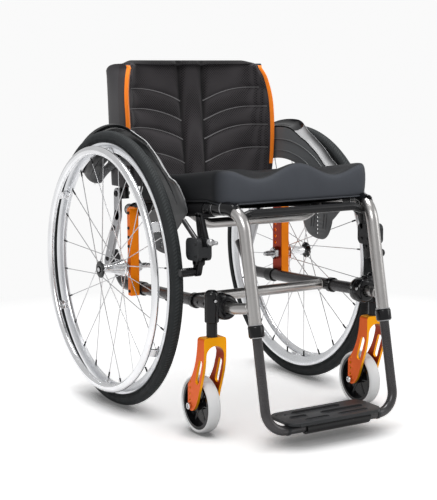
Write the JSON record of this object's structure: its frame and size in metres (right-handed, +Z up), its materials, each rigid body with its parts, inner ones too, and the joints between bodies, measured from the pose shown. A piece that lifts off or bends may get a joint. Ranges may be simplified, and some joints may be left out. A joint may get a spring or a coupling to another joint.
{
  "type": "wheelchair",
  "caption": "Rigid-frame manual wheelchair with folding back, height-adjustable footrest, swivelling casters, quick-release rear wheels with handrims, side guards and wheel brakes.",
  "frame": {"origin": "on the floor, at the middle of the chair's width and length", "axes": "+Z up, the chair faces -Y, its left side is +X"},
  "size_m": [0.5694, 0.8086, 0.746],
  "materials": {
    "frame_tube": "satin",
    "graphite_tube": "satin",
    "dark_metal": "satin",
    "grey_metal": "satin",
    "orange_metal": "anodised",
    "bright_steel": "brushed",
    "bright_aluminium": "polished",
    "black_plastic": "gloss",
    "guard_shell": "satin",
    "black_tyre": "matte",
    "pale_tyre": "matte",
    "charcoal_fabric": "woven"
  },
  "bodies": {
    "chassis": {"side_frame_left": "frame_tube", "side_frame_right": "frame_tube", "lower_rail_left": "graphite_tube", "lower_rail_right": "graphite_tube", "rail_collar_left": "black_plastic", "rail_collar_right": "black_plastic", "axle_plate_left": "orange_metal", "axle_plate_right": "orange_metal", "axle_receiver_left": "bright_steel", "axle_receiver_right": "bright_steel", "quick_axle_left": "bright_steel", "quick_axle_right": "bright_steel", "rear_bracket_left": "grey_metal", "rear_bracket_right": "grey_metal", "caster_housing_left": "black_plastic", "caster_housing_right": "black_plastic", "footrest_clamp_left": "black_plastic", "footrest_clamp_right": "black_plastic", "side_guard_left": "guard_shell", "side_guard_right": "guard_shell", "brake_bracket_left": "dark_metal", "brake_bracket_right": "dark_metal", "brake_housing_left": "black_plastic", "brake_housing_right": "black_plastic", "lower_cross_tube": "frame_tube", "upper_cross_tube": "frame_tube", "front_seat_bar": "dark_metal", "seat_sling": "charcoal_fabric", "seat_cushion": "charcoal_fabric"},
    "rear_wheel_left": {"rear_tyre_left": "black_tyre", "rear_rim_left": "bright_aluminium", "handrim_left": "bright_aluminium", "rear_hub_left": "bright_aluminium", "hub_cap_left": "black_plastic"},
    "rear_wheel_right": {"rear_tyre_right": "black_tyre", "rear_rim_right": "bright_aluminium", "handrim_right": "bright_aluminium", "rear_hub_right": "bright_aluminium", "hub_cap_right": "black_plastic"},
    "axle_button_left": {"axle_button_left": "bright_steel"},
    "axle_button_right": {"axle_button_right": "bright_steel"},
    "caster_fork_left": {"caster_fork_left": "orange_metal", "caster_axle_left": "bright_steel"},
    "caster_fork_right": {"caster_fork_right": "orange_metal", "caster_axle_right": "bright_steel"},
    "caster_wheel_left": {"caster_core_left": "black_plastic", "caster_tyre_left": "pale_tyre"},
    "caster_wheel_right": {"caster_core_right": "black_plastic", "caster_tyre_right": "pale_tyre"},
    "backrest": {"back_cane_left": "graphite_tube", "back_cane_right": "graphite_tube", "back_rigidiser_bar": "graphite_tube", "back_shell": "charcoal_fabric"},
    "footrest": {"footrest_tube": "graphite_tube"},
    "footplate": {"footplate": "black_plastic"},
    "brake_lever_left": {"brake_lever_left": "grey_metal"},
    "brake_lever_right": {"brake_lever_right": "grey_metal"},
    "brake_shoe_left": {"brake_shoe_left": "dark_metal"},
    "brake_shoe_right": {"brake_shoe_right": "dark_metal"}
  },
  "joints": [
    {"name": "rear_wheel_spin_left", "type": "hinge", "parent": "chassis", "child": "rear_wheel_left", "pos_m": [0.242, 0.10632, 0.298], "axis": [1, 0, 0], "continuous": true},
    {"name": "rear_wheel_spin_right", "type": "hinge", "parent": "chassis", "child": "rear_wheel_right", "pos_m": [-0.242, 0.10632, 0.298], "axis": [1, 0, 0], "continuous": true},
    {"name": "axle_button_press_left", "type": "slide", "parent": "chassis", "child": "axle_button_left", "axis": [-1, 0, 0], "range_m": [0, 0.003], "stiffness_N_per_m": 500, "springref_m": -0.002},
    {"name": "axle_button_press_right", "type": "slide", "parent": "chassis", "child": "axle_button_right", "axis": [1, 0, 0], "range_m": [0, 0.003], "stiffness_N_per_m": 500, "springref_m": -0.002},
    {"name": "caster_swivel_left", "type": "hinge", "parent": "chassis", "child": "caster_fork_left", "pos_m": [0.2, -0.24168, 0.2], "axis": [0, 0, 1], "continuous": true},
    {"name": "caster_swivel_right", "type": "hinge", "parent": "chassis", "child": "caster_fork_right", "pos_m": [-0.2, -0.24168, 0.2], "axis": [0, 0, 1], "continuous": true},
    {"name": "caster_roll_left", "type": "hinge", "parent": "caster_fork_left", "child": "caster_wheel_left", "pos_m": [0.2, -0.19668, 0.059], "axis": [1, 0, 0], "continuous": true},
    {"name": "caster_roll_right", "type": "hinge", "parent": "caster_fork_right", "child": "caster_wheel_right", "pos_m": [-0.2, -0.19668, 0.059], "axis": [1, 0, 0], "continuous": true},
    {"name": "back_fold", "type": "hinge", "parent": "chassis", "child": "backrest", "pos_m": [0, 0.18232, 0.452], "axis": [1, 0, 0], "range_deg": [0, 36]},
    {"name": "footrest_height", "type": "slide", "parent": "chassis", "child": "footrest", "axis": [0, 0.2021, 0.9794], "range_m": [0, 0.03]},
    {"name": "footplate_flip", "type": "hinge", "parent": "footrest", "child": "footplate", "pos_m": [0, -0.37133, 0.034], "axis": [1, 0, 0], "range_deg": [0, 80]},
    {"name": "brake_lever_pull_left", "type": "hinge", "parent": "chassis", "child": "brake_lever_left", "pos_m": [0.212, -0.21168, 0.389], "axis": [1, 0, 0], "range_deg": [0, 65]},
    {"name": "brake_lever_pull_right", "type": "hinge", "parent": "chassis", "child": "brake_lever_right", "pos_m": [-0.212, -0.21168, 0.389], "axis": [1, 0, 0], "range_deg": [0, 65]},
    {"name": "brake_shoe_press_left", "type": "hinge", "parent": "chassis", "child": "brake_shoe_left", "pos_m": [0.212, -0.21368, 0.35], "axis": [1, 0, 0], "range_deg": [0, 25]},
    {"name": "brake_shoe_press_right", "type": "hinge", "parent": "chassis", "child": "brake_shoe_right", "pos_m": [-0.212, -0.21368, 0.35], "axis": [1, 0, 0], "range_deg": [0, 25]}
  ],
  "couplings": [
    {"joint": "brake_shoe_press_left", "follows": "brake_lever_pull_left", "ratio": 0.38461},
    {"joint": "brake_shoe_press_right", "follows": "brake_lever_pull_right", "ratio": 0.38461}
  ]
}
